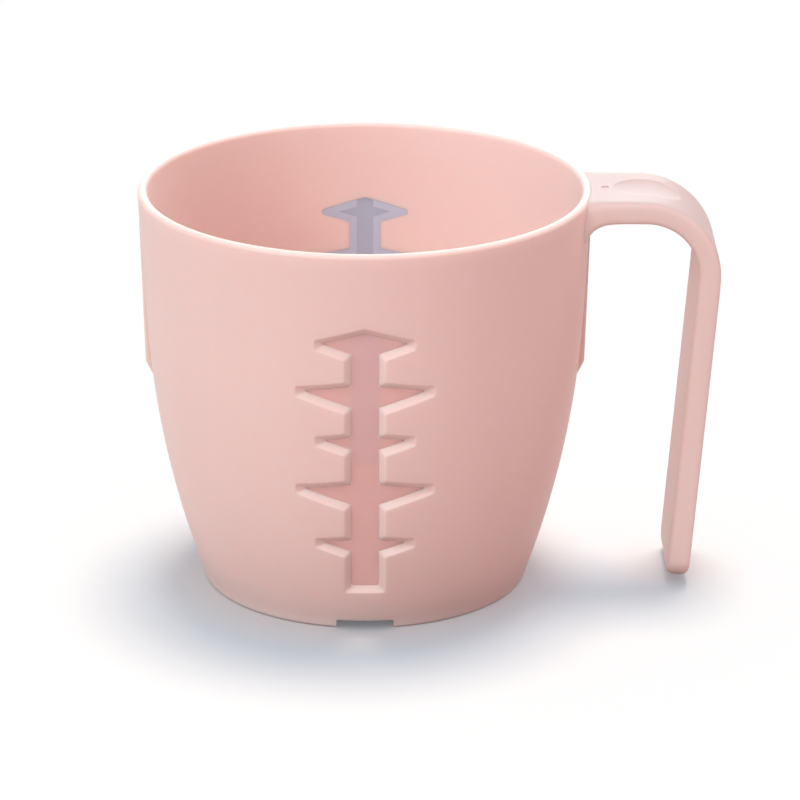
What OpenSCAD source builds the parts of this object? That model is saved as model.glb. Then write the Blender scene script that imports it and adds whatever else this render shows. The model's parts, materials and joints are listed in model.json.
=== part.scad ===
// Easy-grip mug: a tapered barrel cup with an open, J-shaped strap handle and two ladder-shaped
// level windows, one at the front and one at the rear. The cup stands on the plane z = 0 with its
// axis on Z, the handle points to +X and the front window faces -Y. All sizes are millimetres.

/* [Cup] */
// Outer diameter across the rim
rim_d = 88; // [80:0.5:100]
// Height from the table to the top of the rim
cup_h = 79.5; // [72:0.5:95]
// Lean of the straight upper wall away from upright, in degrees
wall_lean = 3.17; // [1:0.01:5]
// Height at which the straight wall turns into the barrel curve
barrel_z = 53.2; // [45:0.1:60]
// Radius of the barrel curve
barrel_r = 186.2; // [160:0.1:260]
// Thickness of the side wall
wall_t = 2.2; // [1.8:0.05:3]
// Height of the thinner band inside the rim
rim_band_h = 4.2; // [2:0.1:8]
// How much thinner the wall is at that band
rim_band_t = 0.3; // [0.1:0.05:0.6]

/* [Floor and foot] */
// Height of the inner floor above the table
floor_z = 6.7; // [5:0.1:9]
// Thickness of the floor
floor_t = 2.7; // [1.8:0.1:3.5]
// Radius between the inner floor and the wall
floor_fillet = 2.5; // [1:0.1:3]
// Width of the ring that the cup stands on
foot_w = 2.8; // [2:0.1:4]
// Bevel round the outer edge of the foot
foot_edge = 0.5; // [0.2:0.1:1]
// Width of each drain notch in the foot
notch_w = 11; // [6:0.5:16]
// Height of each drain notch
notch_h = 1.85; // [1:0.05:3]

/* [Stacking ribs] */
// Width of each rib
rib_w = 6; // [4:0.5:12]
// Height above the table at which a rib stands out furthest
rib_z = 44.4; // [40:0.1:50]
// How far a rib stands out from the wall there
rib_proud = 1.1; // [0.6:0.05:1.6]
// Height of the slope at the lower end of a rib
rib_slope_h = 2.8; // [1:0.1:4]

/* [Level windows] */
// Number of level bars on each window
bar_count = 5; // [3:1:6]
// Drop from the rim to the tips of the top bar
scale_drop = 17.1; // [14:0.1:24]
// Rise from the inner floor to the lower end of the stem
scale_rise = 1.8; // [1.6:0.1:4]
// Width of the stem, across its bevel
stem_w = 7.8; // [6:0.1:9]
// Length from the axis to the tip of a short bar
short_bar = 9.5; // [8:0.1:11]
// Length from the axis to the tip of a long bar
long_bar = 13.15; // [11.5:0.1:15]
// Height of a bar at its tip
bar_tip_h = 2; // [1.6:0.1:2.6]
// Slope of the upper edge of a bar, in degrees
bar_top_slope = 8.5; // [5:0.5:12]
// Slope of the lower edge of a bar, in degrees
bar_under_slope = 18.5; // [12:0.5:24]
// Slope of the peaked top bar, in degrees
peak_slope = 15.5; // [10:0.5:20]
// Width of the bevel round a window
bevel_w = 1.3; // [0.9:0.05:1.5]
// Thickness of a window pane
pane_t = 1; // [0.7:0.05:1.2]
// Width of the lip that holds a pane in its rebate
lip_w = 0.5; // [0.3:0.05:0.8]
// Thickness of that lip
lip_t = 0.5; // [0.3:0.05:0.6]

/* [Handle] */
// Width of the strap
handle_w = 21.4; // [16:0.1:26]
// Reach of the handle from the axis of the cup
handle_reach = 68.7; // [66:0.1:80]
// Drop from the crest of the rim to the top of the strap
handle_drop = 0.35; // [0.25:0.05:1]
// Thickness of the strap at the top
bar_t = 4.55; // [3.5:0.05:5.5]
// Thickness of the strap along the grip
grip_t = 4.55; // [4:0.05:6]
// Outer radius of the bend at the top
bend_r = 15.5; // [12:0.1:18]
// Inner radius of that bend
bend_inner_r = 10.2; // [6:0.1:12]
// Lean of the grip towards the cup, in degrees
grip_lean = 4.5; // [0:0.1:7]
// Height of the free lower end above the table
grip_end_z = 1; // [0.5:0.1:20]
// Rounding of the edges of the strap
strap_edge = 1.3; // [0.6:0.1:1.6]
// Radius of the two corners at the free lower end
end_corner = 4.5; // [3:0.1:8]
// Rounding of the lower end across its thickness
grip_end_r = 2; // [1:0.1:2.2]
// Fillet under the root, where the strap meets the cup
root_fillet = 2.3; // [1.5:0.1:3]
// How far the root widens on each side to meet the cup
root_flare = 1.4; // [0.5:0.1:2]
// How far the root laps over the rounded edge of the rim
rim_lap = 0.35; // [0.2:0.05:0.5]
// How far round the bend the thumb dish sits, in degrees
dish_turn = 5; // [-10:1:20]
// Diameter of the thumb dish
dish_d = 12; // [8:0.5:14]
// Depth of the thumb dish
dish_depth = 0.65; // [0.3:0.05:1]

/* [Fits] */
// Clearance between two pieces that are seated on each other
seat_gap = 0.05; // [0.02:0.01:0.1]

/* [Hidden] */
$fn = 128;

PINK = [0.89, 0.74, 0.71];
PINK_HANDLE = [0.90, 0.77, 0.74];
CLEAR_ROSE = [0.86, 0.66, 0.64, 0.6];
CLEAR_MAUVE = [0.68, 0.65, 0.69, 0.6];

// Steps along the barrel, the rim, the floor fillet, the bend and the rounded corners
BARREL_STEPS = 14;
RIM_STEPS = 10;
FILLET_STEPS = 5;
BEND_STEPS = 12;
CORNER_STEPS = 4;
END_STEPS = 7;
ROOT_STEPS = 4;
// Slices that add up to the filled volume, and pieces that each edge of a window is split into
FILL_SLICES = 60;
EDGE_PIECES = 3;
// How far cutting shapes run past what they cut
PAST = 2;
// The least height of a bar at the tip of its pane, and the least flat on the edge of the strap
PANE_TIP_H = 0.35;
EDGE_FLAT = 0.1;

rim_r = rim_d / 2;
rim_round = (wall_t - rim_band_t) / 2;
rim_round_z = cup_h - rim_round;
foot_recess = floor_z - floor_t;
bevel_depth = wall_t - pane_t;

// Outer radius of the cup at a height: a straight cone above barrel_z, a tangent arc below it
cone_r = rim_r - (cup_h - barrel_z) * tan(wall_lean);
arc_x = cone_r - barrel_r * cos(wall_lean);
arc_z = barrel_z + barrel_r * sin(wall_lean);
function outer_r(z) = z >= barrel_z
    ? rim_r - (cup_h - z) * tan(wall_lean)
    : arc_x + sqrt(barrel_r * barrel_r - pow(z - arc_z, 2));
function inner_r(z) = outer_r(z) - wall_t;

// Heights from z0 to z1 with the start of the barrel curve among them
function wall_heights(z0, z1) = concat(
    [for (i = [0 : BARREL_STEPS - 1]) z0 + (barrel_z - z0) * i / BARREL_STEPS],
    [barrel_z, z1]
);

// Round top of the wall, from its outer side over to its inner side
rim_mid_r = outer_r(rim_round_z) - rim_round;
function rim_arc(grow) = [
    for (i = [0 : RIM_STEPS])
        let (a = 180 * i / RIM_STEPS)
        [rim_mid_r + (rim_round + grow) * cos(a), rim_round_z + (rim_round + grow) * sin(a)]
];

// Fillet between the inner wall and the floor, tangent to both
fillet_z = floor_z + floor_fillet;
fillet_drop = arc_z - fillet_z;
fillet_reach = barrel_r - floor_fillet;
fillet_r = arc_x - wall_t + sqrt(fillet_reach * fillet_reach - fillet_drop * fillet_drop);
fillet_end = -asin(fillet_drop / fillet_reach);
fillet_top = fillet_z + floor_fillet * sin(fillet_end);
function fillet_arc() = [
    for (i = [0 : FILLET_STEPS])
        let (a = fillet_end + (-90 - fillet_end) * i / FILLET_STEPS)
        [fillet_r + floor_fillet * cos(a), fillet_z + floor_fillet * sin(a)]
];

// Volume in millilitres up to a height, and the height of a volume
function fill_steps(z) = [
    for (i = [0 : FILL_SLICES - 1])
        let (step = (z - floor_z) / FILL_SLICES)
        PI * pow(inner_r(floor_z + (i + 0.5) * step), 2) * step / 1000
];
function total(list, n, i = 0) = i >= n ? 0 : list[i] + total(list, n, i + 1);
top_bar_z = cup_h - scale_drop;
fill_list = fill_steps(top_bar_z);
fill_table = [
    for (i = [0 : FILL_SLICES])
        [total(fill_list, i), floor_z + (top_bar_z - floor_z) * i / FILL_SLICES]
];
top_volume = fill_table[FILL_SLICES][0];
// Tips of the bars, from the top down: each bar stands one equal share of the volume lower
bar_z = [for (n = [0 : bar_count - 1]) lookup(top_volume * (1 - n / bar_count), fill_table)];
function bar_length(n) = n % 2 == 0 ? short_bar : long_bar;
function bar_slope(n) = n == 0 ? peak_slope : bar_top_slope;

// One half of the ladder outline, drawn smaller by inset on every edge
function tip_in(n, inset) =
    let (
        up = bar_slope(n),
        shrink = inset * (1 / cos(up) + 1 / cos(bar_under_slope)),
        taper = tan(up) + tan(bar_under_slope)
    )
    max(inset, (PANE_TIP_H - bar_tip_h + shrink) / taper);
function bar_top(n, x, inset) =
    bar_z[n] + (bar_length(n) - x) * tan(bar_slope(n)) - inset / cos(bar_slope(n));
function bar_under(n, x, inset) =
    bar_z[n] - bar_tip_h - (bar_length(n) - x) * tan(bar_under_slope) + inset / cos(bar_under_slope);
stem_foot_z = floor_z + scale_rise;
function ladder_half(inset) =
    let (stem = stem_w / 2 - inset)
    concat(
        [for (n = [0 : bar_count - 1])
            let (tip = bar_length(n) - tip_in(n, inset))
            each [
                if (n > 0) [stem, bar_top(n, stem, inset)],
                [tip, bar_top(n, tip, inset)],
                [tip, bar_under(n, tip, inset)],
                [stem, bar_under(n, stem, inset)]
            ]
        ],
        [[stem, stem_foot_z + inset]]
    );
function reversed(list) = [for (i = [len(list) - 1 : -1 : 0]) list[i]];
function ladder(inset) =
    let (half = ladder_half(inset))
    concat(
        [[0, bar_top(0, 0, inset)]],
        half,
        [for (p = reversed(half)) [-p[0], p[1]]]
    );
function split_edges(list) = [
    for (i = [0 : len(list) - 1])
        let (a = list[i], b = list[(i + 1) % len(list)])
        for (k = [0 : EDGE_PIECES - 1]) a + (b - a) * k / EDGE_PIECES
];

// Solid of the whole cup outline, larger by grow, from the table to the top of the rim
module cup_outline(grow) {
    side = [for (z = wall_heights(0, rim_round_z)) [outer_r(z) + grow, z]];
    crown = [for (i = [1 : RIM_STEPS / 2]) rim_arc(grow)[i]];
    rotate_extrude()
        polygon(concat([[0, 0]], side, crown, [[0, cup_h + grow]]));
}

// A rib that grows out of the wall below the rim and ends in a sloping step
module stacking_rib(grow) {
    end_r = outer_r(rib_z) + rib_proud + grow;
    low_z = rib_z - rib_slope_h;
    intersection() {
        rotate_extrude()
            polygon([
                [outer_r(low_z) - wall_t / 2, low_z - grow],
                [outer_r(low_z) + grow, low_z - grow],
                [end_r, rib_z - grow],
                [outer_r(rim_round_z) + grow, rim_round_z],
                [rim_mid_r, rim_round_z]
            ]);
        translate([0, -rib_w / 2 - grow, 0])
            cube([rim_d, rib_w + 2 * grow, cup_h]);
    }
}

// Shell of the wall between two depths, measured outwards from the inner wall
module wall_shell(depth0, depth1) {
    heights = wall_heights(fillet_top, rim_round_z - rim_band_h);
    inside = [for (z = heights) [inner_r(z) + depth0, z]];
    outside = [for (z = reversed(heights)) [inner_r(z) + depth1, z]];
    rotate_extrude() polygon(concat(inside, outside));
}

// The ladder outline as a bar that runs through the front wall
module ladder_bar(inset) {
    rotate([90, 0, 0])
        linear_extrude(height = rim_r + PAST)
            polygon(ladder(inset));
}

// The bevelled mouth of a window: sloping sides that follow the curved wall
module window_bevel() {
    over = 0.3;
    slope = bevel_depth / bevel_w;
    mouth = split_edges(ladder(-over));
    throat = split_edges(ladder(bevel_w + over));
    count = len(mouth);
    rings = [
        [for (p = mouth) [p[0], -rim_r - PAST, p[1]]],
        [for (p = mouth) [p[0], -sqrt(pow(outer_r(p[1]) + over * slope, 2) - p[0] * p[0]), p[1]]],
        [for (p = throat)
            [p[0], -sqrt(pow(outer_r(p[1]) - bevel_depth - over * slope, 2) - p[0] * p[0]), p[1]]],
        [for (p = throat) [p[0], -rim_r / 2, p[1]]]
    ];
    last = len(rings) - 1;
    polyhedron(
        points = [for (ring = rings) each ring],
        faces = concat(
            [[for (i = [0 : count - 1]) i]],
            [[for (i = [count - 1 : -1 : 0]) last * count + i]],
            [for (r = [0 : last - 1], i = [0 : count - 1])
                let (a = r * count + i, b = r * count + (i + 1) % count)
                each [[a, a + count, b], [b, a + count, b + count]]]
        )
    );
}

// The rebate in the inner wall that takes a pane's lip
module lip_rebate() {
    intersection() {
        wall_shell(-PAST, lip_t + seat_gap);
        ladder_bar(bevel_w - lip_w);
    }
}

// The same cut at the front and at the rear
module front_and_rear() {
    for (turn = [0, 180]) {
        rotate([0, 0, turn]) children();
    }
}

// Pink shell: wall, rounded rim, floor, notched foot ring, stacking ribs and the two window mouths
module cup_body() {
    band_z = rim_round_z - rim_band_h;
    outside = [for (z = wall_heights(foot_edge, rim_round_z)) [outer_r(z), z]];
    inside = [for (z = reversed(wall_heights(fillet_top, band_z))) [inner_r(z), z]];
    foot_r = outer_r(0) - foot_w;
    color(PINK)
    difference() {
        union() {
            rotate_extrude()
                polygon(concat(
                    [[0, foot_recess], [foot_r, foot_recess], [foot_r, 0]],
                    [[outer_r(0) - foot_edge, 0]],
                    outside,
                    [for (i = [1 : RIM_STEPS]) rim_arc(0)[i]],
                    inside,
                    [for (i = [1 : FILLET_STEPS]) fillet_arc()[i]],
                    [[0, floor_z]]
                ));
            stacking_rib(0);
            mirror([1, 0, 0]) stacking_rib(0);
        }
        front_and_rear() window_bevel();
        front_and_rear() ladder_bar(bevel_w);
        front_and_rear() lip_rebate();
        front_and_rear()
            translate([-notch_w / 2, -rim_r, -PAST])
                cube([notch_w, rim_r - foot_r + PAST, notch_h + PAST]);
    }
}

// Ring of points round the strap, between an inner and an outer point in the XZ plane, with cut
// taken off both of its faces
function strap_ring(inner, outer, half_w, edge, cut) =
    let (
        across = outer - inner,
        t = norm(across) / 2 - cut,
        mid = (outer + inner) / 2,
        dir = across / norm(across),
        r = min(edge, t - EDGE_FLAT)
    )
    [for (q = [0 : 3], i = [0 : CORNER_STEPS])
        let (
            a = 90 * (q + i / CORNER_STEPS),
            sx = (q == 0 || q == 3) ? 1 : -1,
            sy = q < 2 ? 1 : -1,
            u = sx * (t - r) + r * cos(a),
            v = sy * (half_w - r) + r * sin(a)
        )
        [mid[0] + dir[0] * u, v, mid[1] + dir[1] * u]
    ];

// Centres of the two bend arcs, and the straight grip below them
grip_out = [cos(grip_lean), -sin(grip_lean)];
grip_down = [-sin(grip_lean), -cos(grip_lean)];
strap_z = cup_h - handle_drop;
under_z = strap_z - bar_t;
bend_c = [handle_reach - bend_r, strap_z - bend_r];
inner_shift = grip_t - bend_r + bend_inner_r + sin(grip_lean) * (bar_t + bend_inner_r - bend_r);
bend_inner_c = [
    handle_reach - bend_r - inner_shift / cos(grip_lean),
    under_z - bend_inner_r
];
root_x = outer_r(under_z);
root_in_x = root_x - 2 * wall_t;

// Straight run of the grip down to its free end, whose corners and edge are rounded: how far a
// rounding of radius r has drawn in at a distance from the end, and the strap's ring there
grip_from = bend_c + bend_r * grip_out;
grip_len = (grip_from[1] - grip_end_z) / cos(grip_lean);
function drawn_in(r, from_end) = from_end >= r ? 0 : r - sqrt(r * r - pow(r - from_end, 2));
function end_ring(from_end) =
    let (outer = grip_from + (grip_len - from_end) * grip_down)
    strap_ring(
        outer - grip_t * grip_out,
        outer,
        handle_w / 2 - drawn_in(end_corner, from_end), strap_edge, drawn_in(grip_end_r, from_end)
    );

function handle_rings() = concat(
    [strap_ring(
        [root_in_x, under_z - root_fillet],
        [root_in_x, strap_z],
        handle_w / 2 + root_flare, strap_edge, 0
    )],
    [for (i = [0 : ROOT_STEPS])
        let (a = 90 * i / ROOT_STEPS, x = root_x + root_fillet * (1 - cos(a)))
        strap_ring(
            [x, under_z - root_fillet * (1 - sin(a))],
            [x, strap_z],
            handle_w / 2 + root_flare * (1 - sin(a)), strap_edge, 0
        )],
    [for (i = [0 : BEND_STEPS])
        let (a = 90 - (90 + grip_lean) * i / BEND_STEPS, dir = [cos(a), sin(a)])
        strap_ring(
            bend_inner_c + bend_inner_r * dir,
            bend_c + bend_r * dir,
            handle_w / 2, strap_edge, 0
        )],
    [for (i = [0 : END_STEPS]) end_ring(end_corner * (1 - sin(90 * i / END_STEPS)))]
);

// Pink J-shaped strap: flush with the rim at its root, bent down at the end and free at the bottom
module handle() {
    rings = handle_rings();
    count = len(rings[0]);
    last = len(rings) - 1;
    dish_r = (pow(dish_d / 2, 2) + pow(dish_depth, 2)) / (2 * dish_depth);
    color(PINK_HANDLE)
    difference() {
        polyhedron(
            points = [for (ring = rings) each ring],
            faces = concat(
                [[for (i = [0 : count - 1]) i]],
                [[for (i = [count - 1 : -1 : 0]) last * count + i]],
                [for (r = [0 : last - 1], i = [0 : count - 1])
                    let (a = r * count + i, b = r * count + (i + 1) % count)
                    each [[a, a + count, b], [b, a + count, b + count]]]
            )
        );
        cup_outline(seat_gap);
        stacking_rib(seat_gap);
        cylinder(h = cup_h + PAST, r = rim_r - rim_lap);
        translate([bend_c[0], 0, bend_c[1]])
            rotate([0, dish_turn, 0])
                translate([0, 0, bend_r - dish_depth + dish_r])
                    sphere(r = dish_r);
    }
}

// A clear pane that fills a window's opening, with a thin lip on its inner side
module scale_window() {
    intersection() {
        wall_shell(lip_t / 2, pane_t);
        ladder_bar(bevel_w + seat_gap);
    }
    intersection() {
        wall_shell(0, lip_t);
        ladder_bar(bevel_w - lip_w + seat_gap);
    }
}

module front_scale_window() {
    color(CLEAR_ROSE) scale_window();
}

module rear_scale_window() {
    color(CLEAR_MAUVE) rotate([0, 0, 180]) scale_window();
}

cup_body();
handle();
front_scale_window();
rear_scale_window();
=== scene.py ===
# %% [markdown]
# # An easy-grip mug
#
# This lesson dresses the solids of a moulded plastic mug: a barrel-shaped cup, an open strap
# handle and two clear level windows shaped like ladders. The solids give the true sizes and stay
# where they are. Each one is then replaced by a mesh that is modelled step by step, the way it
# would be done by hand, and each mesh gets a finish that is made of shader nodes.

# %% Load the frame
import json
from math import asin, ceil, cos, degrees, hypot, pi, radians, sin, sqrt, tan

import bmesh
import bpy
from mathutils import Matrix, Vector

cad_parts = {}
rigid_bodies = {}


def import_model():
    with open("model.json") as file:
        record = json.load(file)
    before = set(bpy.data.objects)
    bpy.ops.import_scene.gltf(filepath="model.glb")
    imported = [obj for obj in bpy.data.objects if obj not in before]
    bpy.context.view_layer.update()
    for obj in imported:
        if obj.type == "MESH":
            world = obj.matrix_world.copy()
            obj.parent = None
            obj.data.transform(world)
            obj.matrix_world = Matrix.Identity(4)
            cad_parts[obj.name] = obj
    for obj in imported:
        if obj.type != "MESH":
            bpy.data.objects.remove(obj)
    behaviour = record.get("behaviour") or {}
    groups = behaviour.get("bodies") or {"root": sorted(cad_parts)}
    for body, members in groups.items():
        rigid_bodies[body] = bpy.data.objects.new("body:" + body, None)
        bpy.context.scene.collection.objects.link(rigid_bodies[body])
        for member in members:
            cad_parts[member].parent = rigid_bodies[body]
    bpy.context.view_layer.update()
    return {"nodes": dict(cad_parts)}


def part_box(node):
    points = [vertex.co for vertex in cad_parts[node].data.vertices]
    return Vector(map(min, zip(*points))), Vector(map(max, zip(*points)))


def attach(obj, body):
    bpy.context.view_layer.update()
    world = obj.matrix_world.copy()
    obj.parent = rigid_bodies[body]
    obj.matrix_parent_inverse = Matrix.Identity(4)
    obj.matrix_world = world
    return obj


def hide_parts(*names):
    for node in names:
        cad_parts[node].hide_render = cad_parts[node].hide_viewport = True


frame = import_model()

print("nodes:", sorted(frame["nodes"]))

# %% [markdown]
# ## Sizes
#
# Blender works in metres, but a mug is easier to think about in millimetres, so every size below
# is in millimetres and is multiplied by MM when it reaches an operator. The height and the width
# come from the frame. The others repeat the driving sizes of the solids.

# %% Sizes of the cup
MM = 0.001
cup_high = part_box("cup_body")[1]
CUP_H = cup_high.z / MM
WALL_LEAN = radians(3.17)
WALL_T = 2.2
BARREL_Z = 53.2
BARREL_R = 186.2
BAND_T = 0.3
RIM_ROUND = (WALL_T - BAND_T) / 2
RIM_Z = CUP_H - RIM_ROUND
RIM_R = cup_high.y / MM + RIM_ROUND * tan(WALL_LEAN)

CONE_R = RIM_R - (CUP_H - BARREL_Z) * tan(WALL_LEAN)
ARC_R = CONE_R - BARREL_R * cos(WALL_LEAN)
ARC_Z = BARREL_Z + BARREL_R * sin(WALL_LEAN)


def outer_r(z):
    """Radius of the outer wall at a height: a cone above the barrel and a tangent arc below."""
    if z >= BARREL_Z:
        return RIM_R - (CUP_H - z) * tan(WALL_LEAN)
    return ARC_R + sqrt(BARREL_R**2 - (z - ARC_Z) ** 2)


def inner_r(z):
    """Radius of the inner wall at a height."""
    return outer_r(z) - WALL_T


print(f"rim {2 * RIM_R:.1f} mm, base {2 * outer_r(0):.1f} mm, height {CUP_H:.1f} mm")

# %% [markdown]
# ## Helpers for drawing
#
# A turned or swept shape starts as a line. By hand, one would add a plane, merge it to a single
# vertex and extrude that vertex from point to point, and `trace` does just that. `loft` draws
# closed rings in this way and bridges each one to the ring before it. `select_points` stands in
# for the mouse, `combine` applies a Boolean modifier and clears the tool away, and
# `half_turn_copy` repeats at the rear what was made for the front.

# %% Draw edges
WELD = 0.0005 * MM


def begin(name):
    """Add a mesh object with nothing in it and open it in edit mode."""
    bpy.ops.object.select_all(action="DESELECT")
    bpy.ops.mesh.primitive_plane_add(size=MM)
    piece = bpy.context.object
    piece.name = name
    bpy.ops.object.mode_set(mode="EDIT")
    bpy.ops.mesh.delete(type="VERT")
    return piece


def trace(points):
    """Draw edges through points in millimetres by extruding a single vertex."""
    bpy.ops.mesh.primitive_plane_add(size=MM, location=Vector(points[0]) * MM)
    bpy.ops.mesh.merge(type="CENTER")
    for here, there in zip(points, points[1:]):
        step = (Vector(there) - Vector(here)) * MM
        bpy.ops.mesh.extrude_vertices_move(TRANSFORM_OT_translate={"value": step})


def trace_ring(points):
    """Draw a closed ring of edges and leave it selected."""
    trace([*points, points[0]])
    bpy.ops.mesh.select_linked()
    bpy.ops.mesh.remove_doubles(threshold=WELD)


def finish_mesh():
    """Merge doubles, close open ends, turn every face outwards and leave edit mode."""
    bpy.ops.mesh.select_all(action="SELECT")
    bpy.ops.mesh.remove_doubles(threshold=WELD)
    bpy.ops.mesh.fill_holes(sides=0)
    bpy.ops.mesh.normals_make_consistent(inside=False)
    bpy.ops.object.mode_set(mode="OBJECT")


# %% Select by place, and loft
def select_points(test):
    """Select the vertices whose place in millimetres passes a test."""
    mesh = bmesh.from_edit_mesh(bpy.context.object.data)
    for vertex in mesh.verts:
        vertex.select_set(bool(test(vertex.co / MM)))
    mesh.select_flush_mode()
    bmesh.update_edit_mesh(bpy.context.object.data)


def loft(name, rings, apart=0):
    """Draw rings of equally many points and bridge each one to the ring before it.

    Rings in front of the axis that nearly touch are drawn well apart, and pushed back afterwards.
    """
    piece = begin(name)
    for k, ring in enumerate(rings):
        trace_ring([(x, y + k * apart, z) for x, y, z in ring])
        if k == 0:
            bpy.ops.mesh.edge_face_add()
        else:
            bpy.ops.mesh.select_non_manifold(
                extend=False, use_multi_face=False, use_non_contiguous=False, use_verts=False
            )
            bpy.ops.mesh.bridge_edge_loops()
    if apart:
        for _ in rings[1:]:
            select_points(lambda point: point.y > 0)
            bpy.ops.transform.translate(value=(0, -apart * MM, 0))
    finish_mesh()
    return piece


# %% Modifiers, copies and a report
def pick(piece):
    """Make one object the only selected and active one."""
    bpy.ops.object.select_all(action="DESELECT")
    piece.select_set(True)
    bpy.context.view_layer.objects.active = piece


def apply_modifier(piece, kind, **settings):
    """Add a modifier with these settings and apply it."""
    pick(piece)
    modifier = piece.modifiers.new(kind.lower(), kind)
    for key, value in settings.items():
        setattr(modifier, key, value)
    bpy.ops.object.modifier_apply(modifier=modifier.name)


def combine(piece, tool, operation):
    """Cut, join or intersect a piece with a tool, and delete the tool."""
    apply_modifier(piece, "BOOLEAN", operation=operation, solver="EXACT", object=tool)
    bpy.data.objects.remove(tool)


def half_turn_copy(piece, name):
    """Copy a piece made for the front of the cup and turn it to the rear."""
    pick(piece)
    bpy.ops.object.duplicate()
    copy = bpy.context.object
    copy.name = name
    bpy.ops.object.mode_set(mode="EDIT")
    bpy.ops.mesh.select_all(action="SELECT")
    bpy.ops.transform.rotate(value=pi, orient_axis="Z", center_override=(0, 0, 0))
    bpy.ops.object.mode_set(mode="OBJECT")
    return copy


def report(piece):
    """Print how large a finished mesh is."""
    piece.data.calc_loop_triangles()
    size = " x ".join(f"{side / MM:.1f}" for side in piece.dimensions)
    print(f"{piece.name}: {len(piece.data.loop_triangles)} triangles, {size} mm")


# %% [markdown]
# ## The wall of the cup
#
# The cup is turned about its axis, so half of its section says everything: the recess under the
# floor, the foot that it stands on, the barrel wall, the round rim, the thinner band inside the
# rim, the fillet and the floor. The section could be lofted ring by ring, but `spin` turns it in
# one go, as a lathe does.

# %% Section of the cup
BAND_H = 4.2
FLOOR_Z = 6.7
FLOOR_T = 2.7
FLOOR_FILLET = 2.5
FOOT_W = 2.8
FOOT_ROUND = 0.6
RECESS_Z = FLOOR_Z - FLOOR_T
RECESS_ROUND = 0.8
WALL_STEP = 2.0
FLAT_STEP = 7
RIM_STEPS = 14
ROUND_STEPS = 4
FILLET_STEPS = 7


def arc(centre, radius, start, end, steps):
    """Points on an arc in the (radius, height) plane, with angles in degrees."""
    angles = [radians(start + (end - start) * i / steps) for i in range(steps + 1)]
    return [(centre[0] + radius * cos(a), centre[1] + radius * sin(a)) for a in angles]


def spaced(low, high, step):
    """Evenly spaced numbers from low to high, about one step apart."""
    count = ceil((high - low) / step)
    return [low + (high - low) * i / count for i in range(count + 1)]


foot_in = outer_r(0) - FOOT_W
band_z = RIM_Z - BAND_H
fillet_z = FLOOR_Z + FLOOR_FILLET
fillet_reach = BARREL_R - FLOOR_FILLET
fillet_r = ARC_R - WALL_T + sqrt(fillet_reach**2 - (ARC_Z - fillet_z) ** 2)
fillet_tilt = -asin((ARC_Z - fillet_z) / fillet_reach)
fillet_top = fillet_z + FLOOR_FILLET * sin(fillet_tilt)

underside = [(r, RECESS_Z) for r in spaced(0, foot_in - RECESS_ROUND, FLAT_STEP)]
recess = arc((foot_in - RECESS_ROUND, RECESS_Z - RECESS_ROUND), RECESS_ROUND, 90, 0, ROUND_STEPS)
foot = arc((foot_in + FOOT_ROUND, FOOT_ROUND), FOOT_ROUND, 180, 270, ROUND_STEPS)
foot += arc((outer_r(FOOT_ROUND) - FOOT_ROUND, FOOT_ROUND), FOOT_ROUND, 270, 350, ROUND_STEPS)
outside = [(outer_r(z), z) for z in spaced(FOOT_ROUND, RIM_Z, WALL_STEP)]
rim = arc((outer_r(RIM_Z) - RIM_ROUND, RIM_Z), RIM_ROUND, 0, 180, RIM_STEPS)
inside = [(inner_r(z), z) for z in reversed(spaced(fillet_top, band_z, WALL_STEP))]
fillet = arc((fillet_r, fillet_z), FLOOR_FILLET, degrees(fillet_tilt), -90, FILLET_STEPS)
floor = [(r, FLOOR_Z) for r in reversed(spaced(0, fillet_r, FLAT_STEP))]
section = underside + recess[1:] + foot + outside + rim[1:] + inside + fillet[1:] + floor[1:]
print(f"section of the cup: {len(section)} points")

# %% Turn the cup
CUP_STEPS = 240

cup = begin("cup_shell")
trace([(r, 0, z) for r, z in section])
bpy.ops.mesh.select_all(action="SELECT")
bpy.ops.mesh.spin(steps=CUP_STEPS, angle=2 * pi, center=(0, 0, 0), axis=(0, 0, 1))
finish_mesh()
report(cup)

# %% [markdown]
# ## The stacking ribs
#
# On the real mug a narrow rib swells out of the wall below the rim, under the handle and opposite
# it, and ends in a slope that rests on the rim of the mug below when mugs are stacked. Vertices of
# the wall could be pulled out, but the rib is crisper as a body of its own: its side is drawn,
# spun by a few degrees to give it a width, bevelled along its outer edges and joined to the cup.

# %% Stacking ribs
RIB_W = 6.0
RIB_Z = 44.4
RIB_PROUD = 1.1
RIB_SLOPE_H = 2.8
RIB_SINK = 0.6
RIB_TOP_SINK = 0.03
RIB_BACK = 1.5
RIB_EDGE = 0.35
RIB_EDGE_STEPS = 3

rib_low = RIB_Z - RIB_SLOPE_H
rib_corner = Vector((outer_r(RIB_Z) + RIB_PROUD, RIB_Z))
slope_foot = Vector((outer_r(rib_low), rib_low))
slope_foot += (slope_foot - rib_corner).normalized() * RIB_SINK
rib_heights = spaced(slope_foot.y, RIB_Z + RIB_SLOPE_H, WALL_STEP) + [BARREL_Z, RIM_Z]
rib_side = [slope_foot, rib_corner, (outer_r(RIM_Z) - RIB_TOP_SINK, RIM_Z)]
rib_side += [(outer_r(z) - RIB_BACK, z) for z in reversed(rib_heights)]
rib_turn = asin(RIB_W / 2 / rib_corner.x)

rib = begin("rib")
trace_ring([(r * cos(rib_turn), r * sin(rib_turn), z) for r, z in rib_side])
bpy.ops.mesh.spin(steps=1, angle=2 * rib_turn, center=(0, 0, 0), axis=(0, 0, 1))
finish_mesh()
bpy.ops.object.mode_set(mode="EDIT")
rib_middle = (RIB_SINK + RIB_BACK) / 2
select_points(lambda point: hypot(point.x, point.y) > outer_r(point.z) - rib_middle)
bpy.ops.mesh.bevel(offset=RIB_EDGE * MM, segments=RIB_EDGE_STEPS, affect="EDGES")
bpy.ops.object.mode_set(mode="OBJECT")
report(rib)
for body in (half_turn_copy(rib, "rib_opposite"), rib):
    combine(cup, body, "UNION")
report(cup)

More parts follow.
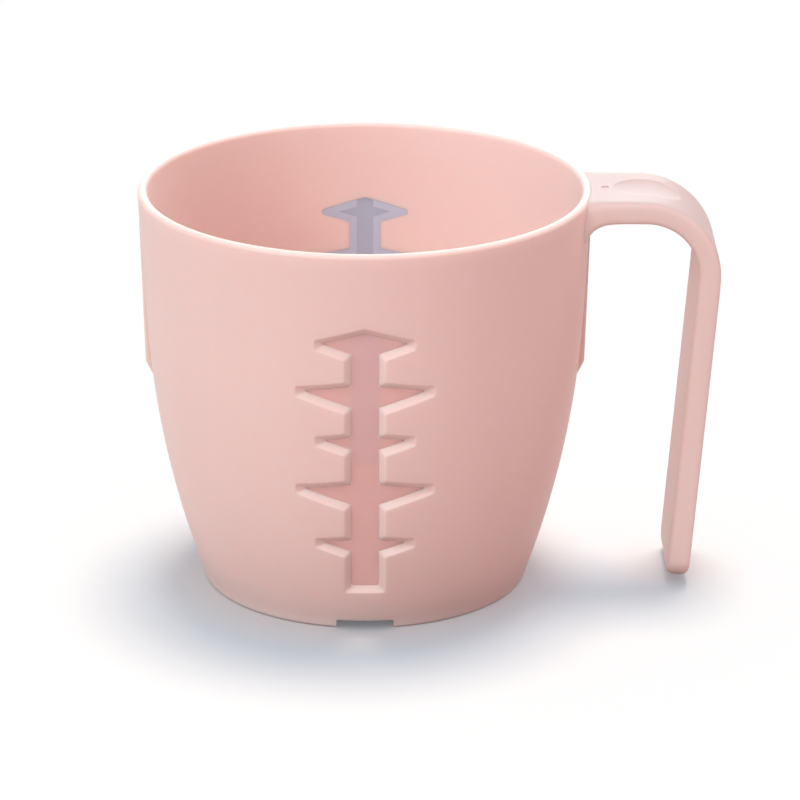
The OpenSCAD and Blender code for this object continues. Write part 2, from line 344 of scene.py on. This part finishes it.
# %% [markdown]
# ## The ladder outline
#
# Each window is a stem with five bars, and the tips of the bars mark equal steps of volume. So the
# heights are not measured but worked out: the inside of the cup is added up in thin slices, and
# each bar stands where another fifth of the volume is reached. The outline can be drawn in by an
# inset, because the mouth, the bevel, the pane and its lip all follow the same ladder.

# %% Heights of the bars
BAR_COUNT = 5
SCALE_DROP = 17.1
SLICES = 200
HALVINGS = 40
CUBIC_MM_PER_ML = 1000


def volume(top):
    """Volume of the cup's inside up to a height, in cubic millimetres."""
    step = (top - FLOOR_Z) / SLICES
    return sum(pi * inner_r(FLOOR_Z + (i + 0.5) * step) ** 2 * step for i in range(SLICES))


def height_of(wanted):
    """Height at which the inside holds a volume, found by halving."""
    low, high = FLOOR_Z, CUP_H
    for _ in range(HALVINGS):
        middle = (low + high) / 2
        low, high = (middle, high) if volume(middle) < wanted else (low, middle)
    return low


top_volume = volume(CUP_H - SCALE_DROP)
bar_z = [height_of(top_volume * (1 - n / BAR_COUNT)) for n in range(BAR_COUNT)]
bar_ml = top_volume / BAR_COUNT / CUBIC_MM_PER_ML
print("bars at", [round(z, 1) for z in bar_z], f"mm, one for each {bar_ml:.0f} ml")

# %% Edges of the bars
BAR_LENGTHS = (9.5, 13.15)
BAR_TIP_H = 2.0
BAR_UNDER = tan(radians(18.5))
BAR_OVER = tan(radians(8.5))
PEAK_OVER = tan(radians(15.5))
LEAST_TIP_H = 0.35


def bar_length(n):
    """Length from the axis to the tip of a bar: short and long bars take turns."""
    return BAR_LENGTHS[n % 2]


def bar_slope(n):
    """Slope of the upper edge of a bar, steeper on the peaked top bar."""
    return BAR_OVER if n else PEAK_OVER


def bar_top(n, x, inset):
    """Height of the upper edge of a bar at a distance x from the axis."""
    slope = bar_slope(n)
    return bar_z[n] + (bar_length(n) - x) * slope - inset * hypot(1, slope)


def bar_under(n, x, inset):
    """Height of the lower edge of a bar at a distance x from the axis."""
    return bar_z[n] - BAR_TIP_H - (bar_length(n) - x) * BAR_UNDER + inset * hypot(1, BAR_UNDER)


def bar_tip(n, inset):
    """Distance from the axis to the tip of a bar, which draws back where the bar gets too thin."""
    slope = bar_slope(n)
    lost = inset * (hypot(1, slope) + hypot(1, BAR_UNDER))
    return bar_length(n) - max(inset, (LEAST_TIP_H - BAR_TIP_H + lost) / (slope + BAR_UNDER))


bar_tips = [round(bar_tip(n, 0), 1) for n in range(BAR_COUNT)]
print("tips of the bars at", bar_tips, "mm from the axis")

# %% Outline of a window
STEM_W = 7.8
SCALE_RISE = 1.8
CORNER_R = 0.55
CORNER_SHARE = 0.4
CORNER_STEPS = 4
EDGE_STEP = 1.6


def ladder(inset):
    """Corners (x, z) of the ladder, from the peak down the right side and up the left side."""
    stem = STEM_W / 2 - inset
    half = []
    for n in range(BAR_COUNT):
        tip = bar_tip(n, inset)
        if n:
            half.append((stem, bar_top(n, stem, inset)))
        half.append((tip, bar_top(n, tip, inset)))
        half.append((tip, bar_under(n, tip, inset)))
        half.append((stem, bar_under(n, stem, inset)))
    half.append((stem, FLOOR_Z + SCALE_RISE + inset))
    return [(0, bar_top(0, 0, inset)), *half, *[(-x, z) for x, z in reversed(half)]]


def rounded(corners, pieces):
    """Outline through the corners with each one rounded and each edge split into pieces."""
    corners = [Vector(corner) for corner in corners]
    points = []
    for k, (here, count) in enumerate(zip(corners, pieces)):
        after = corners[(k + 1) % len(corners)]
        back, ahead = corners[k - 1] - here, after - here
        ahead_reach = min(CORNER_R, ahead.length * CORNER_SHARE)
        reach = min(ahead_reach, back.length * CORNER_SHARE)
        start = here + back.normalized() * reach
        end = here + ahead.normalized() * reach
        for i in range(CORNER_STEPS + 1):
            t = i / CORNER_STEPS
            points.append((1 - t) ** 2 * start + 2 * t * (1 - t) * here + t**2 * end)
        far = after - ahead.normalized() * ahead_reach
        points += [end.lerp(far, i / count) for i in range(1, count)]
    return points


full_ladder = [Vector(corner) for corner in ladder(0)]
next_corners = full_ladder[1:] + full_ladder[:1]
edge_pieces = [ceil((b - a).length / EDGE_STEP) for a, b in zip(full_ladder, next_corners)]


def outline(inset):
    """Rounded ladder outline, drawn in by an inset. Every inset gives equally many points."""
    return rounded(ladder(inset), edge_pieces)


def on_wall(inset, depth):
    """The outline laid on the front wall, at a depth below its outer surface."""
    return [(x, -sqrt((outer_r(z) - depth) ** 2 - x * x), z) for x, z in outline(inset)]


def on_plane(inset, y):
    """The outline drawn flat on an upright plane."""
    return [(x, y, z) for x, z in outline(inset)]


print(f"ladder outline: {len(outline(0))} points")

# %% [markdown]
# ## Cutting the windows
#
# The mouth of a window is a bevel with a soft outer edge. One could bevel the hole after cutting
# it, but the bars are too thin for the bevel operator at their tips. So the cutter carries the
# bevel: rings of the outline, each at its own inset and depth, lie along the curved wall, first
# round the soft edge, then down the slope, and are bridged into one solid. A thin plate of the
# same ladder cuts the rebate inside, where the lip of the pane will sit.

# %% Cutter for a window
BEVEL_W = 1.3
PANE_T = 1.0
BEVEL_D = WALL_T - PANE_T
MOUTH_ROUND = 0.55
MOUTH_STEPS = 4
MOUTH_START = radians(8)
MOUTH_FLARE = 1.0
PAST_RIM = 6
FAR_OUT = -RIM_R - PAST_RIM
FAR_IN = -RIM_R / 2

bevel_turn = asin(BEVEL_D / hypot(BEVEL_D, BEVEL_W))
mouth_back = MOUTH_ROUND * tan(bevel_turn / 2)


def mouth_edge(turn):
    """Inset and depth on the soft outer edge of the mouth, at an angle from the wall."""
    return MOUTH_ROUND * sin(turn) - mouth_back, MOUTH_ROUND * (1 - cos(turn))


first_inset, first_depth = mouth_edge(MOUTH_START)
flare = (first_inset - MOUTH_FLARE, first_depth - MOUTH_FLARE * tan(MOUTH_START))
edge_shares = [i / MOUTH_STEPS for i in range(MOUTH_STEPS + 1)]
edge_turns = [MOUTH_START + (bevel_turn - MOUTH_START) * share for share in edge_shares]
slope = [flare, *[mouth_edge(turn) for turn in edge_turns], (BEVEL_W, BEVEL_D)]
mouth_rings = [
    on_plane(flare[0], FAR_OUT),
    *[on_wall(inset, depth) for inset, depth in slope],
    on_plane(BEVEL_W, FAR_IN),
]
mouth_cutter = loft("mouth_cutter", mouth_rings, apart=2 * RIM_R)
report(mouth_cutter)

# %% Curved plates that follow the wall
LIP_W = 0.5
LIP_T = 0.5
SEAT_GAP = 0.02
PLATE_TURN = radians(23)
PLATE_STEPS = 46


def plate(name, inset, depth_out, depth_in):
    """A ladder-shaped plate between two depths below the outer surface of the front wall."""
    heights = spaced(fillet_top - WALL_T, bar_top(0, 0, 0) + WALL_T, WALL_STEP)
    outer = [(outer_r(z) - depth_out, z) for z in heights]
    inner = [(outer_r(z) - depth_in, z) for z in reversed(heights)]
    start = PLATE_TURN - pi / 2
    shell = begin(name)
    trace_ring([(r * cos(start), r * sin(start), z) for r, z in outer + inner])
    bpy.ops.mesh.spin(steps=PLATE_STEPS, angle=2 * PLATE_TURN, center=(0, 0, 0), axis=(0, 0, 1))
    finish_mesh()
    prism = loft(f"{name}_prism", [on_plane(inset, FAR_OUT), on_plane(inset, FAR_IN)])
    combine(shell, prism, "INTERSECT")
    return shell


rebate_cutter = plate("rebate_cutter", BEVEL_W - LIP_W, WALL_T - LIP_T - SEAT_GAP, WALL_T + PANE_T)
report(rebate_cutter)

# %% [markdown]
# ## Notches in the foot
#
# The foot of the real mug is cut through below each window, so that water drains out of the recess
# when the mug stands upside down. A section that is turned all round can't show this, so a block
# with rounded edges cuts the notch. Then every cutter is used twice, at the front and, turned by
# half a turn, at the rear. A copy of the cup from before the cuts is kept as a form for the root
# of the handle.

# %% Notches in the foot
NOTCH_W = 11.0
NOTCH_H = 1.85
NOTCH_ROUND = 0.4

bpy.ops.object.select_all(action="DESELECT")
bpy.ops.mesh.primitive_cube_add(size=MM)
notch_cutter = bpy.context.object
notch_cutter.name = "notch_cutter"
bpy.ops.object.mode_set(mode="EDIT")
bpy.ops.transform.resize(value=(NOTCH_W, 2 * (RIM_R - foot_in + FOOT_W), 2 * NOTCH_H))
bpy.ops.transform.translate(value=(0, -RIM_R * MM, 0))
bpy.ops.mesh.bevel(offset=NOTCH_ROUND * MM, segments=ROUND_STEPS, affect="EDGES")
bpy.ops.object.mode_set(mode="OBJECT")
report(notch_cutter)

# %% Cut the front and the rear
SMOOTH_ANGLE = radians(33)

pick(cup)
bpy.ops.object.duplicate()
seat_form = bpy.context.object
seat_form.name = "seat_form"

for cutter in (mouth_cutter, rebate_cutter, notch_cutter):
    rear_cutter = half_turn_copy(cutter, cutter.name + "_rear")
    combine(cup, cutter, "DIFFERENCE")
    combine(cup, rear_cutter, "DIFFERENCE")
pick(cup)
bpy.ops.object.shade_smooth_by_angle(angle=SMOOTH_ANGLE)
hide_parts("cup_body")
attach(cup, "root")
report(cup)

# %% [markdown]
# ## The panes
#
# A pane fills the throat of its window and has a thin lip on the inner side, which sits in the
# rebate. Two curved plates of the same ladder, one for the throat and one for the lip, are joined
# into one solid, and a copy turned by half a turn is the pane at the rear.

# %% Front and rear panes
LAP = 0.2

pane = plate("front_level_pane", BEVEL_W + SEAT_GAP, BEVEL_D, WALL_T - LIP_T + LAP)
lip = plate("pane_lip", BEVEL_W - LIP_W + SEAT_GAP, WALL_T - LIP_T, WALL_T)
combine(pane, lip, "UNION")
bpy.ops.object.shade_smooth_by_angle(angle=SMOOTH_ANGLE)
rear_pane = half_turn_copy(pane, "rear_level_pane")
for piece, node, slot in (
    (pane, "front_scale_window", "front_pane"),
    (rear_pane, "rear_scale_window", "rear_pane"),
):
    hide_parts(node)
    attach(piece, "root")
    report(piece)

# %% [markdown]
# ## The handle
#
# The handle is a flat strap that leaves the rim, bends down and ends free above the table. It is
# lofted from rings that stand square to the strap: a few at the root, where it widens and grows a
# fillet to meet the cup, more round the bend, and a few that draw in at the rounded free end. The
# rings are a coarse cage. A subdivision surface then rounds the edges of the strap by itself,
# because each corner of a ring has a neighbour half a thickness away.

# %% Sizes of the handle
HANDLE_W = 21.4
HANDLE_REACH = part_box("handle")[1].x / MM
HANDLE_DROP = 0.35
STRAP_T = 4.55
BEND_R = 15.5
BEND_IN_R = 10.2
GRIP_LEAN = radians(4.5)
GRIP_END_Z = 1.0

strap_z = CUP_H - HANDLE_DROP
under_z = strap_z - STRAP_T
bend_x = HANDLE_REACH - BEND_R
bend_thinning = STRAP_T - BEND_R + BEND_IN_R
in_shift = bend_thinning * (1 + sin(GRIP_LEAN)) / cos(GRIP_LEAN)
bend_centre = Vector((bend_x, strap_z - BEND_R))
bend_in_centre = Vector((bend_x - in_shift, under_z - BEND_IN_R))
grip_out = Vector((cos(GRIP_LEAN), -sin(GRIP_LEAN)))
grip_down = Vector((-sin(GRIP_LEAN), -cos(GRIP_LEAN)))
grip_from = bend_centre + BEND_R * grip_out
grip_len = (grip_from.y - GRIP_END_Z) / cos(GRIP_LEAN)
root_x = outer_r(under_z)
print(f"handle: reaches {HANDLE_REACH:.1f} mm from the axis, grip {grip_len:.1f} mm long")

# %% Rings of the handle
END_CORNER = 4.5
END_ROUND = 2.0
COLUMN_SHARE = 0.4


def sag(y):
    """How far the round wall falls back at a distance y from the middle of the handle."""
    return root_x - sqrt(root_x**2 - y * y)


def strap_ring(inner, outer, half_w, thin=0, hug=0):
    """Cage round the strap between two points of its plane. Hug bends it round the cup's wall."""
    across = (outer - inner).normalized()
    inner = inner + across * thin
    outer = outer - across * thin
    edge = (outer - inner).length / 2
    between = half_w * COLUMN_SHARE
    columns = [-half_w, edge - half_w, -between, 0, between, half_w - edge, half_w]
    middle = (inner + outer) / 2
    ring = [(outer, y) for y in columns] + [(middle, half_w)]
    ring += [(inner, y) for y in reversed(columns)] + [(middle, -half_w)]
    return [(place.x - hug * sag(y), y, place.y) for place, y in ring]


def drawn_in(radius, distance):
    """How far a rounding has drawn in at a distance from the free end."""
    return radius - sqrt(radius**2 - (radius - distance) ** 2) if distance < radius else 0


def grip_ring(from_end):
    """Cage of the grip at a distance from its free end."""
    outer = grip_from + (grip_len - from_end) * grip_down
    half_w = HANDLE_W / 2 - drawn_in(END_CORNER, from_end)
    return strap_ring(outer - STRAP_T * grip_out, outer, half_w, drawn_in(END_ROUND, from_end))


# %% Loft the handle
ROOT_FILLET = 4.0
ROOT_FLARE = 1.4
ROOT_SINK = 1.0
ROOT_STEPS = 4
BEND_STEPS = 12
GRIP_STEPS = 6
END_STEPS = 6

rings = [
    strap_ring(
        Vector((root_x - ROOT_SINK, under_z - ROOT_FILLET)),
        Vector((root_x - ROOT_SINK, strap_z)),
        HANDLE_W / 2 + ROOT_FLARE,
        hug=1,
    )
]
for i in range(ROOT_STEPS + 1):
    turn = pi / 2 * i / ROOT_STEPS
    x = root_x + ROOT_FILLET * (1 - cos(turn))
    low = under_z - ROOT_FILLET * (1 - sin(turn))
    half_w = HANDLE_W / 2 + ROOT_FLARE * (1 - sin(turn))
    rings.append(strap_ring(Vector((x, low)), Vector((x, strap_z)), half_w, hug=cos(turn)))
for i in range(BEND_STEPS + 1):
    turn = pi / 2 - (pi / 2 + GRIP_LEAN) * i / BEND_STEPS
    spoke = Vector((cos(turn), sin(turn)))
    bend_in = bend_in_centre + BEND_IN_R * spoke
    bend_out = bend_centre + BEND_R * spoke
    rings.append(strap_ring(bend_in, bend_out, HANDLE_W / 2))
for i in range(1, GRIP_STEPS):
    rings.append(grip_ring(END_CORNER + (grip_len - END_CORNER) * (1 - i / GRIP_STEPS)))
for i in range(END_STEPS + 1):
    rings.append(grip_ring(END_CORNER * (1 - sin(pi / 2 * i / END_STEPS))))
handle = loft("strap_handle", rings)
apply_modifier(handle, "SUBSURF", levels=2, render_levels=2)
report(handle)

# %% [markdown]
# ## Root, thumb dish and gate mark
#
# The root is trimmed by a copy of the cup, so that it seats on the wall without reaching into it.
# A flattened ball hollows the shallow dish for the thumb. The dish reaches into the bend, so the
# ball is first bent over it as the strap is. A small disc leaves the round mark where the plastic
# was fed into the mould.

# %% Trim the root and hollow the dish
DISH_X = 54.6
DISH_LENGTH = 13
DISH_WIDTH = 10.6
DISH_DEPTH = 0.65
BALL_H = 0.85
BALL_RINGS = 48

combine(handle, seat_form, "DIFFERENCE")

ball_share = sqrt(1 - (1 - DISH_DEPTH / BALL_H) ** 2)
ball_long = DISH_LENGTH / 2 / ball_share
ball_wide = DISH_WIDTH / 2 / ball_share
bpy.ops.object.select_all(action="DESELECT")
bpy.ops.mesh.primitive_uv_sphere_add(segments=2 * BALL_RINGS, ring_count=BALL_RINGS, radius=MM)
ball = bpy.context.object
bpy.ops.object.mode_set(mode="EDIT")
bpy.ops.transform.resize(value=(ball_long, ball_wide, BALL_H))
bpy.ops.transform.translate(value=(DISH_X * MM, 0, (strap_z + BALL_H - DISH_DEPTH) * MM))
bpy.ops.object.mode_set(mode="OBJECT")
for vertex in ball.data.vertices:
    past_bend = max(0, vertex.co.x / MM - bend_x)
    vertex.co.z -= (BEND_R - sqrt(BEND_R**2 - past_bend**2)) * MM
combine(handle, ball, "DIFFERENCE")
report(handle)

# %% Press in the gate mark
GATE_X = 46.4
GATE_D = 1.6
GATE_DEPTH = 0.3
GATE_STEPS = 32

bpy.ops.object.select_all(action="DESELECT")
bpy.ops.mesh.primitive_cylinder_add(
    vertices=GATE_STEPS,
    radius=GATE_D / 2 * MM,
    depth=2 * GATE_DEPTH * MM,
    location=(GATE_X * MM, 0, strap_z * MM),
)
combine(handle, bpy.context.object, "DIFFERENCE")
pick(handle)
bpy.ops.object.shade_smooth_by_angle(angle=SMOOTH_ANGLE)
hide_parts("handle")
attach(handle, "root")
report(handle)

# %% [markdown]
# ## Shader maths as Python
#
# A finish is a small calculation that runs at every point of a surface. Wiring it by hand takes
# many Math nodes, so a small class wraps an output socket and lets Python's own operators add
# those nodes. Every other node comes from its one method `node`.

# %% A socket that can be calculated with
class Wire:
    """An output socket, or the bare node tree, that expressions are built from."""

    def __init__(self, tree, socket=None):
        self.tree = tree
        self.socket = socket

    def node(self, kind, settings=None, inputs=None, output=0):
        """Add a node, set it up, fill or link its inputs and return one of its outputs."""
        made = self.tree.nodes.new(kind)
        for key, value in (settings or {}).items():
            setattr(made, key, value)
        for key, value in (inputs or {}).items():
            if isinstance(value, Wire):
                self.tree.links.new(value.socket, made.inputs[key])
            else:
                made.inputs[key].default_value = value
        return Wire(self.tree, made.outputs[output] if made.outputs else None)

    def blend(self, factor, first, second):
        """Mix two colours. A Mix node has its colours at inputs 6 and 7 and at output 2."""
        inputs = {0: factor, 6: first, 7: second}
        return self.node("ShaderNodeMix", {"data_type": "RGBA"}, inputs, output=2)

    def maths(self, operation, first, second):
        """Add a Math node."""
        return self.node("ShaderNodeMath", {"operation": operation}, {0: first, 1: second})

    def __add__(self, other):
        return self.maths("ADD", self, other)

    def __sub__(self, other):
        return self.maths("SUBTRACT", self, other)

    def __mul__(self, other):
        return self.maths("MULTIPLY", self, other)

    def __rsub__(self, other):
        return self.maths("SUBTRACT", other, self)

    __radd__ = __add__
    __rmul__ = __mul__


def blank_material(name):
    """A new material with an empty node tree, and the tree as a wire."""
    material = bpy.data.materials.new(name)
    material.use_nodes = True
    material.node_tree.nodes.clear()
    return material, Wire(material.node_tree)


def linear(red, green, blue):
    """A colour as it is seen on a screen, 0 to 255, turned into a linear colour."""
    parts = [value / 255 for value in (red, green, blue)]
    return (*[p / 12.92 if p <= 0.04045 else ((p + 0.055) / 1.055) ** 2.4 for p in parts], 1)


# %% [markdown]
# ## Pink plastic
#
# The cup and the handle are moulded from a pale salmon-pink plastic with a satin skin. Close to,
# such a skin has a fine grain from the mould, slightly uneven gloss, and faint cloudy streaks
# where the plastic flowed. Light goes a little way into it, which warms the shaded parts. A painted
# picture could show the clouds, but noise that is worked out at every point has no seams.

# %% Pink plastic
STREAK = (1, 1, 0.35)
CLOUD_SCALE = 95
SPECK_SCALE = 900
GRAIN_SCALE = 3200
CLOUD_TINT = 0.5
SPECK_TINT = 0.25
SATIN = 0.44
CLOUD_GLOSS = 0.12
GRAIN_GLOSS = 0.08
CLOUD_BUMP = 0.05
GRAIN_BUMP = 0.01
GLOW_RADIUS = (1.0, 0.55, 0.5)


def noise(place, scale, detail):
    """Cloudy noise at a place, from 0 to 1. A larger scale makes it finer."""
    inputs = {"Vector": place, "Scale": scale, "Detail": detail}
    return place.node("ShaderNodeTexNoise", inputs=inputs)


def pink_plastic(name, colour, deep_colour, glow_depth):
    """Satin plastic with clouds of a deeper colour, into which light goes as far as the depth."""
    material, tree = blank_material(name)
    place = tree.node("ShaderNodeTexCoord", output="Object")
    streaked = tree.node("ShaderNodeMapping", inputs={"Vector": place, "Scale": STREAK})
    clouds = noise(streaked, CLOUD_SCALE, detail=3)
    grain = noise(place, GRAIN_SCALE, detail=2)
    specks = noise(place, SPECK_SCALE, detail=1)
    deepness = 0.5 + CLOUD_TINT * (clouds - 0.5) + SPECK_TINT * (specks - 0.5)
    wave = tree.node(
        "ShaderNodeBump",
        inputs={"Strength": 0.12, "Distance": CLOUD_BUMP * MM, "Height": clouds},
    )
    skin = tree.node(
        "ShaderNodeBump",
        inputs={"Strength": 0.08, "Distance": GRAIN_BUMP * MM, "Height": grain, "Normal": wave},
    )
    surface = tree.node(
        "ShaderNodeBsdfPrincipled",
        {"subsurface_method": "RANDOM_WALK"},
        {
            "Base Color": tree.blend(deepness, colour, deep_colour),
            "Roughness": SATIN + CLOUD_GLOSS * clouds + GRAIN_GLOSS * (grain - 0.5),
            "Normal": skin,
            "IOR": 1.46,
            "Subsurface Weight": 0.5,
            "Subsurface Radius": GLOW_RADIUS,
            "Subsurface Scale": glow_depth * MM,
        },
    )
    tree.node("ShaderNodeOutputMaterial", inputs={"Surface": surface})
    return material


cup_finish = pink_plastic(
    "cup_pink", linear(236, 208, 201), linear(232, 202, 194), glow_depth=3
)
handle_finish = pink_plastic(
    "handle_pink", linear(236, 208, 202), linear(232, 202, 195), glow_depth=0.8
)
for piece, finish in ((cup, cup_finish), (handle, handle_finish)):
    piece.data.materials.clear()
    piece.data.materials.append(finish)
print("pink plastic on", cup.name, "and", handle.name)

# %% [markdown]
# ## Clear panes
#
# The panes are thin clear plastic with a slight haze. Glass that bends light would be one way, but
# a pane one millimetre thick bends it hardly at all, so the finish is a glossy skin that lets some
# of the light straight through. The front pane is a hazy rose, and is dense only along its lip. The
# rear one is grey-mauve in the middle, painted shade that stands for the dim view through the clear
# pane, and paler and denser towards its edge, painted light where more light comes through the
# bevel. So the finish needs to know how far the edge is. The functions that drew the outline also
# work on sockets, so they draw this mask as well.

# %% Clear panes
RIPPLE_SCALE = 220
RIPPLE_BUMP = 0.03
RIPPLE_HAZE = 0.06
RIPPLE_GLOSS = 0.1
PANE_GLOSS = 0.14
MASK_BLUR = 0.2


def clear_plastic(name, core, lip, core_inset):
    """Core and lip are each a colour and how much of the light they hold back."""
    material, tree = blank_material(name)
    place = tree.node("ShaderNodeTexCoord", output="Object")
    axes = tree.node("ShaderNodeSeparateXYZ", inputs={"Vector": place})
    across = tree.node("ShaderNodeMath", {"operation": "ABSOLUTE"}, {0: axes}) * (1 / MM)
    height = Wire(tree.tree, axes.socket.node.outputs["Z"]) * (1 / MM)
    ripple = noise(place, RIPPLE_SCALE, detail=2)
    inside = STEM_W / 2 - core_inset - across
    for n in range(BAR_COUNT):
        below = bar_top(n, across, core_inset) - height
        above = height - bar_under(n, across, core_inset)
        inside = tree.maths("MAXIMUM", inside, tree.maths("MINIMUM", below, above))
    mask = tree.node(
        "ShaderNodeMapRange",
        {"interpolation_type": "SMOOTHSTEP"},
        {"Value": inside, "From Min": -MASK_BLUR, "From Max": MASK_BLUR},
    )
    wavy = tree.node(
        "ShaderNodeBump",
        inputs={"Strength": 0.1, "Distance": RIPPLE_BUMP * MM, "Height": ripple},
    )
    surface = tree.node(
        "ShaderNodeBsdfPrincipled",
        inputs={
            "Base Color": tree.blend(mask, lip[0], core[0]),
            "Alpha": lip[1] + (core[1] - lip[1]) * mask + RIPPLE_HAZE * (ripple - 0.5),
            "Roughness": PANE_GLOSS + RIPPLE_GLOSS * ripple,
            "Normal": wavy,
            "IOR": 1.49,
        },
    )
    tree.node("ShaderNodeOutputMaterial", inputs={"Surface": surface})
    return material


# Inset where the rear pane's painted shade core begins; outside it lies the paler painted-light
# edge
PAINTED_SHADE_INSET = 2.2
LIP_INSET = BEVEL_W + SEAT_GAP
front_finish = clear_plastic(
    "front_pane", (linear(242, 192, 186), 0.52), (linear(236, 205, 198), 0.94), LIP_INSET
)
# Rear pane: grey-mauve core is painted shade for the dim view through the pane, paler edge is
# painted light
rear_painted_shade_finish = clear_plastic(
    "rear_pane", (linear(176, 180, 200), 0.75), (linear(192, 196, 213), 0.92), PAINTED_SHADE_INSET
)
for piece, finish in ((pane, front_finish), (rear_pane, rear_painted_shade_finish)):
    piece.data.materials.clear()
    piece.data.materials.append(finish)
print("clear plastic on", pane.name, "and", rear_pane.name)

# %% [markdown]
# ## Floor
#
# The mug stands on a plain floor that fills the picture. What the camera sees of it, also mirrored
# or through a pane, is a pale floor with a faint cool glow, so that it is white where nothing
# shades it and the shadow of the mug stays soft and bluish. Close to the mug, as in the notches of
# the foot, an occlusion mask fades the glow to a dim grey, which is painted contact shade. The
# light that the floor throws back on to the mug is that of a darker, warmer one, because a white
# floor would wash out the lower barrel.

# %% Floor
FLOOR_SIZE = 6000
FLOOR_COLOUR = (0.734, 0.634, 0.567, 1)
FLOOR_BOUNCE = (0.54, 0.41, 0.40, 1)
FLOOR_GLOW = (0.15, 0.26, 0.345, 1)
# Dim grey glow colour near the mug: painted contact shade
PAINTED_CONTACT_SHADE = (0.12, 0.12, 0.125, 1)
CONTACT_REACH = 14

bpy.ops.object.select_all(action="DESELECT")
bpy.ops.mesh.primitive_plane_add(size=FLOOR_SIZE * MM)
ground = bpy.context.object
ground.name = "ground"


def seen_directly(tree):
    """One for rays from the camera and for mirrored or passed-through views, else zero."""
    from_camera = tree.node("ShaderNodeLightPath", output="Is Camera Ray")
    path = from_camera.socket.node.outputs
    mirrored = Wire(tree.tree, path["Is Glossy Ray"])
    passed_through = Wire(tree.tree, path["Is Transmission Ray"])
    return from_camera + mirrored + passed_through


material, tree = blank_material("pale_floor")
seen = seen_directly(tree)
matt_colour = tree.blend(seen, FLOOR_BOUNCE, FLOOR_COLOUR)
matt = tree.node("ShaderNodeBsdfDiffuse", inputs={"Color": matt_colour})
# Painted contact shade: ambient occlusion fades the glow to dim grey close to the mug
openness = tree.node(
    "ShaderNodeAmbientOcclusion", inputs={"Distance": CONTACT_REACH * MM}, output="AO"
)
glow_colour = tree.blend(openness, PAINTED_CONTACT_SHADE, FLOOR_GLOW)
glow = tree.node("ShaderNodeEmission", inputs={"Color": glow_colour, "Strength": seen})
floor_surface = tree.node("ShaderNodeAddShader", inputs={0: matt, 1: glow})
tree.node("ShaderNodeOutputMaterial", inputs={"Surface": floor_surface})
ground.data.materials.append(material)
print("floor:", ground.name, f"{FLOOR_SIZE} mm across")

# %% [markdown]
# ## Light
#
# An even sky fills all shade, and is plain white where it is seen. Six lamps do the rest. Each one
# shines from a wide patch of the sky, which keeps every edge soft, and lights only what it is meant
# for, so that it leaves no second shadow. One above draws the shadow on the floor. The key lamp at
# the left front models the barrel. One nearer the camera does the same for the handle, and leaves
# the inner face of the grip in shade. A weak warm one at the right front lifts the shaded side. One
# above and behind lights the inside through the mouth. A low one behind lays a sheen on the rim and
# on the top of the handle.

# %% Sky
SKY = 0.5
SKY_COLOUR = (0.95, 1, 1.05, 1)
WHITE = (1, 1, 1, 1)

world = bpy.data.worlds.new("studio")
bpy.context.scene.world = world
world.use_nodes = True
world.node_tree.nodes.clear()
tree = Wire(world.node_tree)
seen = seen_directly(tree)
sky = tree.node(
    "ShaderNodeBackground",
    inputs={"Color": tree.blend(seen, SKY_COLOUR, WHITE), "Strength": SKY + (1 - SKY) * seen},
)
tree.node("ShaderNodeOutputWorld", inputs={"Surface": sky})
print(f"sky: strength {SKY}, and 1 where it is seen")


# %% Lamps
def wide_lamp(name, strength, colour, turn, angle, lit):
    """A lamp that shines from a wide patch of the sky. The turn and the angle are in degrees."""
    bpy.ops.object.light_add(type="SUN", rotation=[radians(part) for part in turn])
    lamp = bpy.context.object
    lamp.name = name
    lamp.data.energy = strength
    lamp.data.color = colour
    lamp.data.angle = radians(angle)
    receivers = bpy.data.collections.new(f"{name}_lights")
    for thing in lit:
        receivers.objects.link(thing)
    lamp.light_linking.receiver_collection = receivers
    print(name, "lights", [thing.name for thing in lit])


barrel = (cup, pane, rear_pane)
wide_lamp("floor_lamp", 2.2, (1, 0.98, 0.93), turn=(-10, 3, 0), angle=20, lit=(ground,))
wide_lamp("key_lamp", 1.95, (0.92, 1.01, 1.04), turn=(50, 0, -44), angle=40, lit=barrel)
wide_lamp("handle_lamp", 1.45, (0.93, 1, 1.02), turn=(50, 0, -22), angle=40, lit=(handle,))
wide_lamp("fill_lamp", 0.55, (1, 0.56, 0.52), turn=(55, 0, 60), angle=60, lit=(*barrel, handle))
wide_lamp("mouth_lamp", 1.5, (0.98, 0.99, 0.98), turn=(-36, 0, -40), angle=40, lit=barrel)
wide_lamp("back_lamp", 0.8, (0.88, 1, 1), turn=(-70, 0, 0), angle=36, lit=(cup, handle))

# %% [markdown]
# ## Camera
#
# The camera was worked out from the rim ellipse, the sides and the foot: how far it stands from the
# axis, at which height of the axis it looks and how steeply it looks down. The mug isn't in the
# middle of the picture, so the lens is shifted.

# %% Camera
VIEW_DISTANCE = 860.9
VIEW_HEIGHT = 39.2
VIEW_TILT = radians(19.82)
VIEW_END = 20000
SENSOR_W = 36
FRAME_PX = 800
FOCAL_PX = 4382
AXIS_PX = (365, 381.2)

bpy.ops.object.camera_add(
    location=(
        0,
        -VIEW_DISTANCE * cos(VIEW_TILT) * MM,
        (VIEW_HEIGHT + VIEW_DISTANCE * sin(VIEW_TILT)) * MM,
    ),
    rotation=(pi / 2 - VIEW_TILT, 0, 0),
)
camera = bpy.context.object
camera.data.sensor_width = SENSOR_W
camera.data.lens = FOCAL_PX / FRAME_PX * SENSOR_W
camera.data.shift_x = 0.5 - AXIS_PX[0] / FRAME_PX
camera.data.shift_y = AXIS_PX[1] / FRAME_PX - 0.5
camera.data.clip_end = VIEW_END * MM
bpy.context.scene.camera = camera
bpy.context.scene.view_settings.view_transform = "Standard"
print(f"camera: {camera.data.lens:.1f} mm lens, {VIEW_DISTANCE} mm from the axis")
